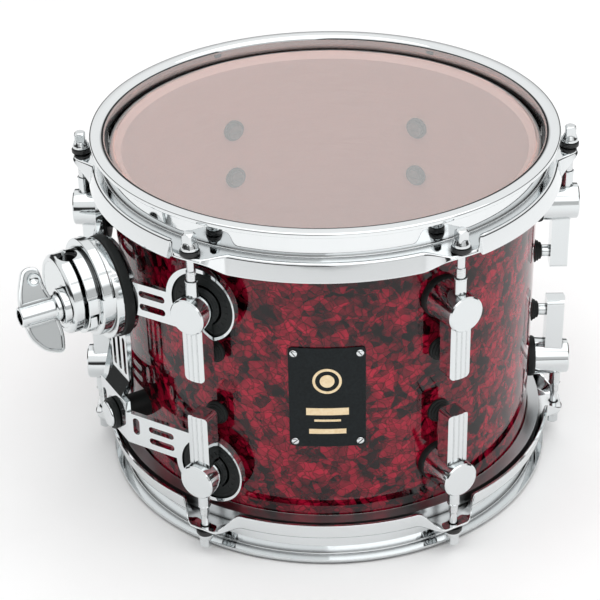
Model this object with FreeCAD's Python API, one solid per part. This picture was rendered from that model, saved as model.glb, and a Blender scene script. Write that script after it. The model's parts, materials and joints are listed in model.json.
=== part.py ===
import FreeCAD, Part
import math
import os

# A mounted tom drum, 10 inch by 8 inch. Millimetres.
# Pieces are drawn with the drum axis on Z and moved sideways by AXIS_X when they
# are written, so that the origin lies under the middle of the overall box.
# z = 0 is the plane it stands on. The badge faces -Y.
# Azimuth is measured from -Y towards +X. Upper hardware is drawn once and
# mirrored about the middle plane for the lower half.

# ---- frame ----
AXIS_X = 10.6

# ---- shell ----
SHELL_OUTER_R = 126.0
SHELL_INNER_R = 120.0
WRAP_T = 0.5
WRAP_R = SHELL_OUTER_R + WRAP_T
TOTAL_H = 220.1
MID_Z = TOTAL_H / 2
EDGE_TOP_Z = 211.65
EDGE_BEVEL = 3.6
EDGE_LAND_IN = 123.8
EDGE_LAND_OUT = 124.8

# ---- heads ----
FILM_T = 0.35
FLESH_INNER_R = 127.6
FLESH_OUTER_R = 134.4
FLESH_BOTTOM_Z = 192.5

# ---- hoops ----
SHEET_T = 2.1
WALL_INNER_R = 129.0
WALL_OUTER_R = 131.3
STEP_Z = 202.1
RIM_BEND_Z = 216.0
RIM_R = 138.1
RIM_LIP_Z = 217.2
RIM_UNDER_Z = 217.8
SKIRT_JOIN_R = 134.9
SKIRT_BOTTOM_R = 140.2
SKIRT_BOTTOM_Z = 191.0
EAR_R = 149.2
EAR_FLAT_DEG = 2.6
EAR_END_DEG = 8.0

# ---- lugs and tension rods ----
LUG_COUNT = 6
LUG_PITCH_DEG = 360 / LUG_COUNT
FIRST_LUG_DEG = -30
ROD_CIRCLE_R = 144.7
LUG_Z = 165.4
BOSS_BACK = 130.5
BOSS_FRONT = 151.7
BOSS_BACK_R = 12.0
BOSS_FRONT_R = 10.75
BAR_W = 13.0
BAR_BACK = 136.5
BAR_FRONT = 148.0
BAR_END_Z = 122.1
BAR_CROWN_R = 18.0
BAR_CORNER = 2.6
GROOVE_R = 0.55
GROOVE_PITCH = 3.2
POST_Z = 131.0
POST_R = 3.65
POST_BACK = 131.5
BOSS_GASKET_R = 12.3
POST_GASKET_R = 7.25
SLEEVE_R = 3.5
SLEEVE_BOTTOM_Z = 158.0
SLEEVE_TOP_Z = 185.8
THREAD_R = 2.75
THREAD_CLEARANCE = 0.05
THREAD_TOP_Z = 191.5
ROD_END_Z = 160.0
SHANK_R = 2.3
WASHER_R = 5.6
WASHER_BORE_R = 2.65
WASHER_TOP_Z = 205.4
COLLAR_R = 4.9
COLLAR_TOP_Z = 206.6
KEY_SIDE = 6.3
KEY_CORNER_R = 3.95
KEY_START_Z = 209.4
HEAD_TOP_Z = 215.2
EAR_HOLE_R = 3.1
SCREW_R = 2.1
SCREW_HOLE_R = 2.6
SCREW_HEAD_R = 4.8
SCREW_HEAD_T = 2.8
INNER_WASHER_R = 7.0
INNER_WASHER_FACE = 118.4
SCREW_TIP = 141.0
SCREW_HEAD_BACK = INNER_WASHER_FACE - SCREW_HEAD_T

# ---- badge ----
BADGE_W = 43.2
BADGE_H = 65.9
BADGE_Z = 109.45
BADGE_T = 0.9
BADGE_CORNER = 2.5
BADGE_PIN_R = 1.7
BADGE_PIN_X = 18.4
BADGE_PIN_DZ = 29.4
EMBLEM_T = 0.3
EMBLEM_RING_R = 8.2
EMBLEM_RING_W = 1.5
EMBLEM_RING_Z = 121.0
EMBLEM_BARS = [(24.0, 4.6, 100.6), (15.0, 1.3, 94.6), (21.0, 3.2, 87.2)]

# ---- mount bracket ----
MOUNT_DEG = -60
ARM_SPREAD_DEG = 30
PLATE_T = 3.0
ARM_FACE = 136.2
UPPER_NOSE_FACE = 141.0
UPPER_ARM_Z = (146.3, 167.2)
UPPER_NOSE_R = 28.0
LOWER_NOSE_FACE = 147.0
LOWER_ARM_Z = (54.2, 75.3)
LOWER_NOSE_TOP_Z = 82.0
SPINE_HALF_W = 11.2
SPINE_BEND_Z = 91.0
SPINE_SLOT_W = 3.6
SPINE_SLOT_PITCH = 7.0
SPINE_SLOT_Z = (94.0, 119.0)
RING_OUTER_R = 21.0
RING_INNER_R = 20.0
RING_ROOT_R = 22.4
RING_ROOT_SHIFT = 1.3
RING_DEPTH = 4.0
ARM_SLOT_H = 4.2
ARM_SLOT_S = (25.0, 42.5)
UPPER_SLOT_Z = (161.0, 152.7)
LOWER_SLOT_Z = (68.4, 60.4)
NOSE_HOLE_W = 4.6
NOSE_HOLE_Z = (64.5, 75.0)
NOSE_HOLE_X = 13.4
ARM_HOLE_S = 51.5
ARM_HOLE_Z = (61.5, 73.0)
ISOLATOR_FRONT = 135.6
BUMPER_R = 8.0
BUMPER_BOLT_Z = 65.0
BUMPER_RING_R = 9.6
BUMPER_RING_T = 3.4
CAP_R = 7.75
CAP_T = 1.8
BUMPER_BOLT_R = 3.0

# ---- rod clamp on the bracket ----
FLANGE_Z = 152.0
JAW_Z = 155.5
SEAL_R = 30.0
SEAL_HOLE_R = 18.0
FLANGE_R = 29.4
BODY_R = 28.0
INNER_JAW_R = 23.5
OUTER_JAW_R = 23.2
FACE_R = 19.4
SEAL_OUT = 147.0
FLANGE_OUT = 152.0
BODY_OUT = 159.5
INNER_JAW_OUT = 166.9
OUTER_JAW_IN = 168.6
OUTER_JAW_OUT = 176.0
JAW_BEVEL = 2.6
BORE_OUT = 167.75
BORE_R = 4.75
BUSHING_R = 5.9
BUSHING_HALF_H = 21.0
BAND_W = 1.2
BAND_DEPTH = 1.2
LOBE_R = 6.5
LOBE_Z = 127.5
LOBE_OUT = 157.0
CLAMP_SCREW_R = 2.4
CLAMP_SCREW_X = 12.0
CLAMP_SCREW_HEAD_R = 4.5
WING_X = 12.5
WING_TILT_DEG = 25
WING_SHANK_R = 4.0
WING_SHANK_IN = 154.2
WING_HOLE_IN = 152.8
WING_CLEARANCE = 0.06
WING_COLLAR_R = 9.2
WING_COLLAR_OUT = 179.6
WING_TUBE_R = 5.8
WING_TUBE_OUT = 203.5
WING_TUBE_BORE_R = 3.6
WING_TUBE_BORE = 9.0
WING_PLATE_T = 3.6
WING_UPPER = [
    (202.0, 2.0), (201.2, 9.0), (197.9, 19.3), (193.1, 23.9), (188.9, 23.6),
    (185.9, 20.7), (185.0, 12.7), (183.2, 6.0), (183.0, 2.0),
]
WING_LOWER = [
    (202.0, -2.0), (201.0, -8.0), (198.9, -15.3), (192.8, -21.2), (186.1, -24.3),
    (182.6, -21.7), (181.6, -16.6), (182.2, -6.2), (183.0, -2.0),
]
DIMPLE_AT = (190.8, 18.6)
DIMPLE_R = 3.7
DIMPLE_DEPTH = 0.9

Z_AXIS = FreeCAD.Vector(0, 0, 1)
Y_AXIS = FreeCAD.Vector(0, 1, 0)
OUTWARD = FreeCAD.Vector(0, -1, 0)
ORIGIN = FreeCAD.Vector(0, 0, 0)


# ---- shared helpers ----
def save(shape, node):
    """Move a piece into the frame and write it as one node."""
    placed = shape.copy()
    placed.translate(FreeCAD.Vector(AXIS_X, 0, 0))
    placed.exportStep("parts/" + node + ".step")


def mirrored(shape):
    """The same piece on the other half of the drum."""
    return shape.mirror(FreeCAD.Vector(0, 0, MID_Z), Z_AXIS)


def turned_about_drum(shape, degrees):
    """Turn a piece drawn at azimuth 0 to its own azimuth."""
    copy = shape.copy()
    copy.rotate(ORIGIN, Z_AXIS, degrees)
    return copy


def lug_azimuths():
    """Azimuth of each lug column."""
    return [FIRST_LUG_DEG + LUG_PITCH_DEG * index for index in range(LUG_COUNT)]


def around(shape):
    """One solid per lug column, grouped."""
    return Part.makeCompound([turned_about_drum(shape, deg) for deg in lug_azimuths()])


def polygon_face(corners):
    """Flat face from a list of 3-D corners."""
    points = [FreeCAD.Vector(*corner) for corner in corners]
    return Part.Face(Part.makePolygon(points + points[:1]))


def revolved(corners, degrees=360):
    """Solid turned about the drum axis from (radius, height) corners."""
    face = polygon_face([(radius, 0, height) for radius, height in corners])
    return face.revolve(ORIGIN, Z_AXIS, degrees)


def upright(radius, low, high, x=0.0, y=0.0):
    """Cylinder with a vertical axis."""
    return Part.makeCylinder(radius, high - low, FreeCAD.Vector(x, y, low), Z_AXIS)


def radial(radius, inner, outer, z, x=0.0):
    """Cylinder that points away from the drum axis, drawn at azimuth 0."""
    return Part.makeCylinder(radius, outer - inner, FreeCAD.Vector(x, -inner, z), OUTWARD)


def radial_cone(inner_r, outer_r, inner, outer, z, x=0.0):
    """Cone that points away from the drum axis, drawn at azimuth 0."""
    return Part.makeCone(inner_r, outer_r, outer - inner, FreeCAD.Vector(x, -inner, z), OUTWARD)


def block(x_low, x_high, inner, outer, z_low, z_high):
    """Box between two distances from the drum axis, drawn at azimuth 0."""
    corner = FreeCAD.Vector(x_low, -outer, z_low)
    return Part.makeBox(x_high - x_low, outer - inner, z_high - z_low, corner)


def long_hole(x_low, x_high, z, height, inner, outer):
    """Cutter for a slot with round ends that runs along x."""
    end_r = height / 2
    middle = block(x_low + end_r, x_high - end_r, inner, outer, z - end_r, z + end_r)
    ends = [radial(end_r, inner, outer, z, x_low + end_r), radial(end_r, inner, outer, z, x_high - end_r)]
    return middle.multiFuse(ends)


def tall_hole(x, width, z_low, z_high, inner, outer):
    """Cutter for a slot with round ends that runs upwards."""
    end_r = width / 2
    middle = block(x - end_r, x + end_r, inner, outer, z_low + end_r, z_high - end_r)
    ends = [radial(end_r, inner, outer, z_low + end_r, x), radial(end_r, inner, outer, z_high - end_r, x)]
    return middle.multiFuse(ends)


def fuse(shapes):
    """One solid from several that overlap."""
    return shapes[0].multiFuse(shapes[1:]).removeSplitter()


# ---- shell and heads ----
def screw_holes():
    """Cutters for the two screws of each lug, upper and lower."""
    upper = [radial(SCREW_HOLE_R, SHELL_INNER_R - 5, WRAP_R + 5, z) for z in (LUG_Z, POST_Z)]
    column = upper + [mirrored(cutter) for cutter in upper]
    return [turned_about_drum(cutter, deg) for deg in lug_azimuths() for cutter in column]


def make_shell():
    """Wooden shell with a bevelled bearing edge at each end."""
    top = [(SHELL_INNER_R, EDGE_TOP_Z - EDGE_BEVEL), (EDGE_LAND_IN, EDGE_TOP_Z)]
    top = top + [(EDGE_LAND_OUT, EDGE_TOP_Z), (SHELL_OUTER_R, EDGE_TOP_Z - 1.2)]
    bottom = [(radius, TOTAL_H - height) for radius, height in reversed(top)]
    return revolved(top + bottom).cut(screw_holes())


def make_wrap():
    """Thin decorative sleeve glued round the shell."""
    low = TOTAL_H - EDGE_TOP_Z + 2.0
    sleeve = upright(WRAP_R, low, TOTAL_H - low).cut(upright(SHELL_OUTER_R, low, TOTAL_H - low))
    return sleeve.cut(screw_holes())


def make_film():
    """Drum head film that folds over the edge into its flesh hoop."""
    inner_r = FLESH_INNER_R - FILM_T
    top = EDGE_TOP_Z + FILM_T
    outside = [(0, top), (125.2, top), (126.9, top - 1.0), (FLESH_INNER_R, top - 3.0), (FLESH_INNER_R, FLESH_BOTTOM_Z)]
    inside = [(inner_r, FLESH_BOTTOM_Z), (inner_r, top - 3.0), (126.6, top - 1.25), (125.0, EDGE_TOP_Z), (0, EDGE_TOP_Z)]
    return revolved(outside + inside)


def make_flesh_hoop():
    """Square metal ring that the film is bonded into."""
    height = STEP_Z - SHEET_T - FLESH_BOTTOM_Z
    ring = upright(FLESH_OUTER_R, FLESH_BOTTOM_Z, FLESH_BOTTOM_Z + height)
    return ring.cut(upright(FLESH_INNER_R, FLESH_BOTTOM_Z, FLESH_BOTTOM_Z + height))


# ---- counter hoop ----
def arc(start, middle, end):
    """Arc in the section plane through three (radius, height) points."""
    points = [FreeCAD.Vector(radius, 0, height) for radius, height in (start, middle, end)]
    return Part.Arc(*points).toShape()


def line(start, end):
    """Line in the section plane between two (radius, height) points."""
    return Part.makeLine(FreeCAD.Vector(start[0], 0, start[1]), FreeCAD.Vector(end[0], 0, end[1]))


def bend(centre_r, centre_z, radius, degrees):
    """Point of a bend, from its centre."""
    angle = math.radians(degrees)
    return (centre_r + radius * math.cos(angle), centre_z + radius * math.sin(angle))


def make_hoop_ring():
    """Upright wall, rolled rim and flat step of the counter hoop."""
    rim_centre = (133.1, RIM_BEND_Z)
    rim_out = rim_centre[0] - WALL_INNER_R
    rim_in = rim_centre[0] - WALL_OUTER_R
    low_centre = (132.2, STEP_Z - SHEET_T + 3.2)
    step_centre = (132.8, STEP_Z + 1.5)
    lip_centre = (RIM_R - 1.5, TOTAL_H - 1.5)
    wall_low = (WALL_INNER_R, low_centre[1])
    wall_high = (WALL_INNER_R, RIM_BEND_Z)
    rim_top = (rim_centre[0], TOTAL_H)
    lip_top = (lip_centre[0], TOTAL_H)
    lip_side = (RIM_R, lip_centre[1])
    lip_low = (RIM_R, RIM_LIP_Z)
    under_out = (RIM_R - 1.9, RIM_UNDER_Z)
    under_in = (rim_centre[0], RIM_UNDER_Z)
    outer_high = (WALL_OUTER_R, RIM_BEND_Z)
    outer_low = (WALL_OUTER_R, step_centre[1])
    step_in = (step_centre[0], STEP_Z)
    step_out = (SKIRT_JOIN_R + 0.1, STEP_Z)
    step_under = (SKIRT_JOIN_R + 0.1, STEP_Z - SHEET_T)
    low_under = (low_centre[0], STEP_Z - SHEET_T)
    edges = [
        line(wall_low, wall_high),
        arc(wall_high, bend(*rim_centre, rim_out, 135), rim_top),
        line(rim_top, lip_top),
        arc(lip_top, bend(*lip_centre, 1.5, 45), lip_side),
        line(lip_side, lip_low),
        line(lip_low, under_out),
        line(under_out, under_in),
        arc(under_in, bend(*rim_centre, rim_in, 135), outer_high),
        line(outer_high, outer_low),
        arc(outer_low, bend(*step_centre, 1.5, 225), step_in),
        line(step_in, step_out),
        line(step_out, step_under),
        line(step_under, low_under),
        arc(low_under, bend(*low_centre, 3.2, 225), wall_low),
    ]
    return Part.Face(Part.Wire(edges)).revolve(ORIGIN, Z_AXIS, 360)


def skirt_section(blend):
    """Corners of the skirt's section; blend 0 is the flat ear, 1 is the plain skirt."""
    under = STEP_Z - SHEET_T
    plain = [(136.6, STEP_Z), (138.2, STEP_Z - 1.3), (SKIRT_BOTTOM_R, SKIRT_BOTTOM_Z)]
    plain = plain + [(SKIRT_BOTTOM_R - 2.3, SKIRT_BOTTOM_Z), (136.1, under - 0.7), (135.5, under)]
    ear = [(140.0, STEP_Z), (146.0, STEP_Z), (EAR_R, STEP_Z)]
    ear = ear + [(EAR_R, under), (146.0, under), (140.0, under)]
    mixed = []
    for flat, full in zip(ear, plain):
        radius = flat[0] + (full[0] - flat[0]) * blend
        height = flat[1] + (full[1] - flat[1]) * blend
        mixed.append((radius, height))
    return [(SKIRT_JOIN_R, STEP_Z)] + mixed + [(SKIRT_JOIN_R, under)]


def ear_blend(degrees):
    """How far the section at this angle from the lug is from ear to skirt."""
    along = (abs(degrees) - EAR_FLAT_DEG) / (EAR_END_DEG - EAR_FLAT_DEG)
    along = min(1.0, max(0.0, along))
    return along * along * (3 - 2 * along)


def section_wire(corners, degrees):
    """Closed section wire in the radial plane at this azimuth."""
    angle = math.radians(degrees)
    points = [FreeCAD.Vector(r * math.sin(angle), -r * math.cos(angle), z) for r, z in corners]
    return Part.makePolygon(points + points[:1])


def make_ear():
    """One ear with the skirt sweeping up into it on both sides."""
    stations = [-9.0, -8.0, -7.1, -6.2, -5.3, -4.4, -3.5, -2.6, -1.3, 0.0]
    stations = stations + [-angle for angle in reversed(stations[:-1])]
    wires = [section_wire(skirt_section(ear_blend(angle)), angle) for angle in stations]
    ear = Part.makeLoft(wires, True, True)
    hole = upright(EAR_HOLE_R, STEP_Z - 5, STEP_Z + 5, 0, -ROD_CIRCLE_R)
    return ear.cut(hole)


def make_plain_skirt():
    """The skirt between two ears."""
    corners = skirt_section(1.0)
    start = 8.9
    span = LUG_PITCH_DEG - 2 * start
    face = Part.Face(section_wire(corners, start))
    return face.revolve(ORIGIN, Z_AXIS, span)


def make_hoop():
    """Complete flanged counter hoop."""
    pieces = [make_hoop_ring()]
    ear = make_ear()
    skirt = make_plain_skirt()
    for degrees in lug_azimuths():
        pieces.append(turned_about_drum(ear, degrees))
        pieces.append(turned_about_drum(skirt, degrees))
    return fuse(pieces)


# ---- lugs ----
def make_bar():
    """Lug bar that reaches towards the middle of the shell."""
    half = BAR_W / 2
    body = block(-half, half, BAR_BACK, BAR_FRONT + 1, BAR_END_Z + BAR_CORNER, LUG_Z)
    foot = block(-half + BAR_CORNER, half - BAR_CORNER, BAR_BACK, BAR_FRONT + 1, BAR_END_Z, LUG_Z)
    corner_x = half - BAR_CORNER
    corner_z = BAR_END_Z + BAR_CORNER
    corners = [radial(BAR_CORNER, BAR_BACK, BAR_FRONT + 1, corner_z, side * corner_x) for side in (-1, 1)]
    outline = fuse([body, foot] + corners)
    crown = upright(BAR_CROWN_R, BAR_END_Z - 1, LUG_Z + 1, 0, BAR_CROWN_R - BAR_FRONT)
    bar = outline.common(crown)
    for side in (-1, 0, 1):
        x = side * GROOVE_PITCH
        depth_y = BAR_CROWN_R - BAR_FRONT - math.sqrt(BAR_CROWN_R ** 2 - x ** 2)
        bar = bar.cut(upright(GROOVE_R, BAR_END_Z - 1, LUG_Z, x, depth_y - GROOVE_R / 2))
    return bar


def make_lug():
    """Lug casting: round boss, bar and rear post, drilled for sleeve and screws."""
    boss = radial_cone(BOSS_BACK_R, BOSS_FRONT_R, BOSS_BACK, BOSS_FRONT - 0.7, LUG_Z)
    face = radial_cone(BOSS_FRONT_R, BOSS_FRONT_R - 0.7, BOSS_FRONT - 0.7, BOSS_FRONT, LUG_Z)
    post = radial(POST_R, POST_BACK, BAR_BACK + 2, POST_Z)
    lug = fuse([boss, face, make_bar(), post])
    sleeve_hole = upright(SLEEVE_R, SLEEVE_BOTTOM_Z, LUG_Z + 20, 0, -ROD_CIRCLE_R)
    screw_cuts = [radial(SCREW_R, BOSS_BACK - 1, SCREW_TIP, z) for z in (LUG_Z, POST_Z)]
    return lug.cut([sleeve_hole] + screw_cuts)


def make_sleeve():
    """Threaded sleeve that stands out of the lug towards the hoop."""
    body = upright(SLEEVE_R, SLEEVE_BOTTOM_Z, SLEEVE_TOP_Z, 0, -ROD_CIRCLE_R)
    bore_r = THREAD_R + THREAD_CLEARANCE
    return body.cut(upright(bore_r, SLEEVE_BOTTOM_Z - 1, SLEEVE_TOP_Z + 1, 0, -ROD_CIRCLE_R))


def make_rod():
    """Tension rod: thread, plain shank, collar and square key head."""
    y = -ROD_CIRCLE_R
    thread = upright(THREAD_R, ROD_END_Z, THREAD_TOP_Z, 0, y)
    shank = upright(SHANK_R, THREAD_TOP_Z - 1, WASHER_TOP_Z + 1, 0, y)
    collar = upright(COLLAR_R, WASHER_TOP_Z, COLLAR_TOP_Z, 0, y)
    flare_h = KEY_START_Z - COLLAR_TOP_Z
    flare_base = FreeCAD.Vector(0, y, COLLAR_TOP_Z)
    flare = Part.makeCone(COLLAR_R, KEY_CORNER_R - 0.3, flare_h, flare_base, Z_AXIS)
    half = KEY_SIDE / 2
    key_corner = FreeCAD.Vector(-half, y - half, COLLAR_TOP_Z)
    key = Part.makeBox(KEY_SIDE, KEY_SIDE, HEAD_TOP_Z - COLLAR_TOP_Z, key_corner)
    dome = upright(KEY_CORNER_R, COLLAR_TOP_Z, HEAD_TOP_Z - 1.4, 0, y)
    dome_base = FreeCAD.Vector(0, y, HEAD_TOP_Z - 1.4)
    dome_top = Part.makeCone(KEY_CORNER_R, KEY_CORNER_R - 1.4, 1.4, dome_base, Z_AXIS)
    return fuse([thread, shank, collar, flare, key.common(dome.fuse(dome_top))])


def make_rod_washer():
    """Thick black washer between rod head and hoop ear."""
    y = -ROD_CIRCLE_R
    return upright(WASHER_R, STEP_Z, WASHER_TOP_Z, 0, y).cut(upright(WASHER_BORE_R, STEP_Z, WASHER_TOP_Z, 0, y))


def make_gasket(radius, outer, z):
    """Rubber pad with a back that follows the shell."""
    pad = radial(radius, SHELL_INNER_R, outer, z).cut(radial(SCREW_HOLE_R, SHELL_INNER_R, outer, z))
    return pad.cut(upright(WRAP_R, z - 20, z + 20))


def make_inner_washer(z):
    """Washer inside the shell with a face that follows the shell."""
    disc = radial(INNER_WASHER_R, INNER_WASHER_FACE, SHELL_INNER_R + 2, z)
    disc = disc.common(upright(SHELL_INNER_R, z - 20, z + 20))
    return disc.cut(radial(SCREW_HOLE_R, INNER_WASHER_FACE - 1, SHELL_INNER_R + 2, z))


def make_lug_screw(z):
    """Screw from inside the shell into the lug."""
    head = radial(SCREW_HEAD_R, SCREW_HEAD_BACK, INNER_WASHER_FACE, z)
    shank = radial(SCREW_R, INNER_WASHER_FACE - 1, SCREW_TIP, z)
    slot = block(-3, 3, SCREW_HEAD_BACK - 1, SCREW_HEAD_BACK + 1, z - 0.5, z + 0.5)
    return fuse([head, shank]).cut(slot)


def both_heights(maker):
    """A lug fastener at its boss and at its post."""
    return [maker(LUG_Z), maker(POST_Z)]


def all_columns(pieces):
    """Upper pieces and their mirrored twins at every lug column."""
    column = pieces + [mirrored(piece) for piece in pieces]
    return Part.makeCompound([turned_about_drum(piece, deg) for deg in lug_azimuths() for piece in column])


# ---- badge ----
def badge_outline(half_w, half_h, corner, z):
    """Rounded rectangle cutter, seen from the front."""
    wide = block(-half_w, half_w, 100, 140, z - half_h + corner, z + half_h - corner)
    tall = block(-half_w + corner, half_w - corner, 100, 140, z - half_h, z + half_h)
    places = [(sx, sz) for sx in (-1, 1) for sz in (-1, 1)]
    rounds = [radial(corner, 100, 140, z + sz * (half_h - corner), sx * (half_w - corner)) for sx, sz in places]
    return fuse([wide, tall] + rounds)


def curved_layer(inner_r, outer_r):
    """Thin tube that a badge layer is cut from."""
    return upright(outer_r, 60, 160).cut(upright(inner_r, 60, 160))


def make_badge():
    """Curved badge plate on the front of the shell."""
    outline = badge_outline(BADGE_W / 2, BADGE_H / 2, BADGE_CORNER, BADGE_Z)
    return curved_layer(WRAP_R, WRAP_R + BADGE_T).common(outline)


def make_emblem():
    """Plain raised ring, disc and bars on the badge."""
    layer = curved_layer(WRAP_R + BADGE_T, WRAP_R + BADGE_T + EMBLEM_T)
    ring = radial(EMBLEM_RING_R, 100, 140, EMBLEM_RING_Z)
    ring = ring.cut(radial(EMBLEM_RING_R - EMBLEM_RING_W, 99, 141, EMBLEM_RING_Z))
    shapes = [ring, radial(EMBLEM_RING_R / 2, 100, 140, EMBLEM_RING_Z)]
    for width, height, z in EMBLEM_BARS:
        shapes.append(block(-width / 2, width / 2, 100, 140, z - height / 2, z + height / 2))
    return Part.makeCompound([layer.common(shape) for shape in shapes])


def make_badge_pins():
    """Four pins at the badge corners."""
    face = WRAP_R + BADGE_T
    pins = []
    for sx in (-1, 1):
        for sz in (-1, 1):
            x = sx * BADGE_PIN_X
            depth = math.sqrt(face ** 2 - x ** 2)
            pin = radial(BADGE_PIN_R, depth - 0.3, depth + 1.0, BADGE_Z + sz * BADGE_PIN_DZ, x)
            pins.append(pin.cut(upright(face, 60, 160)))
    return Part.makeCompound(pins)


# ---- mount bracket, drawn at azimuth 0 and turned to its place ----
def nose_half_width(nose_face):
    """Half width of a nose plate whose edges meet the two arm planes."""
    spread = math.radians(ARM_SPREAD_DEG)
    return (ARM_FACE - nose_face * math.cos(spread)) / math.sin(spread)


def arm_length(nose_face):
    """Distance along an arm from its ring's centre to the nose edge."""
    spread = math.radians(ARM_SPREAD_DEG)
    return nose_face * math.sin(spread) - nose_half_width(nose_face) * math.cos(spread)


def make_arm(nose_face, arm_z, ring_z, slot_z):
    """Right-hand arm with its isolator ring, thicker towards the arm, drawn at its own azimuth 0."""
    inner = ARM_FACE - PLATE_T
    plate = block(-arm_length(nose_face), 0, inner, ARM_FACE, *arm_z)
    ring = radial(RING_OUTER_R, ARM_FACE - RING_DEPTH, ARM_FACE, ring_z)
    root = radial(RING_ROOT_R, ARM_FACE - RING_DEPTH, ARM_FACE, ring_z, -RING_ROOT_SHIFT)
    arm = fuse([plate, ring, root])
    eye = radial(RING_INNER_R, inner - 5, ARM_FACE + 5, ring_z)
    start, end = ARM_SLOT_S
    slots = [long_hole(-end, -start, z, ARM_SLOT_H, inner - 5, ARM_FACE + 5) for z in slot_z]
    return arm.cut([eye] + slots)


def both_arms(arm):
    """An arm on each side of the nose."""
    left = arm.mirror(ORIGIN, FreeCAD.Vector(1, 0, 0))
    return [turned_about_drum(arm, ARM_SPREAD_DEG), turned_about_drum(left, -ARM_SPREAD_DEG)]


def make_upper_yoke():
    """Upper nose plate with its two arms."""
    half = nose_half_width(UPPER_NOSE_FACE)
    inner = UPPER_NOSE_FACE - PLATE_T
    strip = block(-half, half, inner, UPPER_NOSE_FACE, *UPPER_ARM_Z)
    disc = radial(UPPER_NOSE_R, inner, UPPER_NOSE_FACE, FLANGE_Z)
    arm = make_arm(UPPER_NOSE_FACE, UPPER_ARM_Z, LUG_Z, UPPER_SLOT_Z)
    return [strip, disc] + both_arms(arm)


def make_lower_yoke():
    """Lower nose plate with its two arms and the four bend holes."""
    half = nose_half_width(LOWER_NOSE_FACE)
    inner = LOWER_NOSE_FACE - PLATE_T
    nose = block(-half, half, inner, LOWER_NOSE_FACE, LOWER_ARM_Z[0], LOWER_NOSE_TOP_Z)
    holes = [tall_hole(side * NOSE_HOLE_X, NOSE_HOLE_W, *NOSE_HOLE_Z, inner - 5, LOWER_NOSE_FACE + 5) for side in (-1, 1)]
    bolt_hole = radial(BUMPER_BOLT_R, inner - 5, LOWER_NOSE_FACE + 5, BUMPER_BOLT_Z)
    arm = make_arm(LOWER_NOSE_FACE, LOWER_ARM_Z, TOTAL_H - LUG_Z, LOWER_SLOT_Z)
    arm = arm.cut(tall_hole(-ARM_HOLE_S, NOSE_HOLE_W, *ARM_HOLE_Z, ARM_FACE - 10, ARM_FACE + 5))
    return [nose.cut(holes + [bolt_hole])] + both_arms(arm)


def make_spine():
    """Slotted strip between the yokes, bent outwards at its foot."""
    inner = UPPER_NOSE_FACE - PLATE_T
    strip = block(-SPINE_HALF_W, SPINE_HALF_W, inner, UPPER_NOSE_FACE, SPINE_BEND_Z, UPPER_ARM_Z[0])
    slots = [tall_hole(step * SPINE_SLOT_PITCH, SPINE_SLOT_W, *SPINE_SLOT_Z, inner - 5, UPPER_NOSE_FACE + 5) for step in (-1, 0, 1)]
    section = [
        (-UPPER_NOSE_FACE, SPINE_BEND_Z),
        (-LOWER_NOSE_FACE, LOWER_NOSE_TOP_Z),
        (-LOWER_NOSE_FACE, LOWER_NOSE_TOP_Z - 2),
        (-LOWER_NOSE_FACE + PLATE_T, LOWER_NOSE_TOP_Z - 2),
        (-inner, SPINE_BEND_Z - 1),
        (-inner, SPINE_BEND_Z),
    ]
    facet = polygon_face([(-SPINE_HALF_W, y, z) for y, z in section])
    facet = facet.extrude(FreeCAD.Vector(2 * SPINE_HALF_W, 0, 0))
    return [strip.cut(slots), facet]


def make_bracket():
    """Bracket that carries the drum from four lugs."""
    plate = fuse(make_upper_yoke() + make_lower_yoke() + make_spine())
    screws = [radial(CLAMP_SCREW_R, 130, 150, FLANGE_Z, side * CLAMP_SCREW_X) for side in (-1, 1)]
    return plate.cut(screws)


def make_isolator():
    """Rubber disc between an arm ring and its lug boss."""
    pad = radial(RING_INNER_R, BOSS_BACK, ISOLATOR_FRONT - 1.0, LUG_Z)
    lip = radial_cone(RING_INNER_R, RING_INNER_R - 1.0, ISOLATOR_FRONT - 1.0, ISOLATOR_FRONT, LUG_Z)
    eye = radial(BOSS_GASKET_R + 0.1, BOSS_BACK - 1, ISOLATOR_FRONT + 1, LUG_Z)
    return pad.fuse(lip).cut(eye).removeSplitter()


def make_isolators():
    """The four isolators, drawn about the mount's own azimuth."""
    upper = make_isolator()
    pair = [upper, mirrored(upper)]
    angles = (-ARM_SPREAD_DEG, ARM_SPREAD_DEG)
    return Part.makeCompound([turned_about_drum(piece, deg) for deg in angles for piece in pair])


def make_bumper():
    """Rubber stop between the lower nose and the shell."""
    stop = radial(BUMPER_R, SHELL_INNER_R, LOWER_NOSE_FACE - PLATE_T, BUMPER_BOLT_Z)
    stop = stop.cut(upright(WRAP_R, BUMPER_BOLT_Z - 20, BUMPER_BOLT_Z + 20))
    return stop.cut(radial(BUMPER_BOLT_R, WRAP_R + 3, LOWER_NOSE_FACE, BUMPER_BOLT_Z))


def make_bumper_ring():
    """Rubber ring under the bolt's cap."""
    outer = LOWER_NOSE_FACE + BUMPER_RING_T
    ring = radial(BUMPER_RING_R, LOWER_NOSE_FACE, outer, BUMPER_BOLT_Z)
    return ring.cut(radial(BUMPER_BOLT_R, LOWER_NOSE_FACE, outer, BUMPER_BOLT_Z))


def make_bumper_bolt():
    """Capped bolt that holds the rubber stop."""
    face = LOWER_NOSE_FACE + BUMPER_RING_T
    shank = radial(BUMPER_BOLT_R, WRAP_R + 5, face + 1, BUMPER_BOLT_Z)
    cap = radial(CAP_R, face, face + CAP_T - 0.6, BUMPER_BOLT_Z)
    edge = radial_cone(CAP_R, CAP_R - 0.6, face + CAP_T - 0.6, face + CAP_T, BUMPER_BOLT_Z)
    return fuse([shank, cap, edge])


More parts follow.
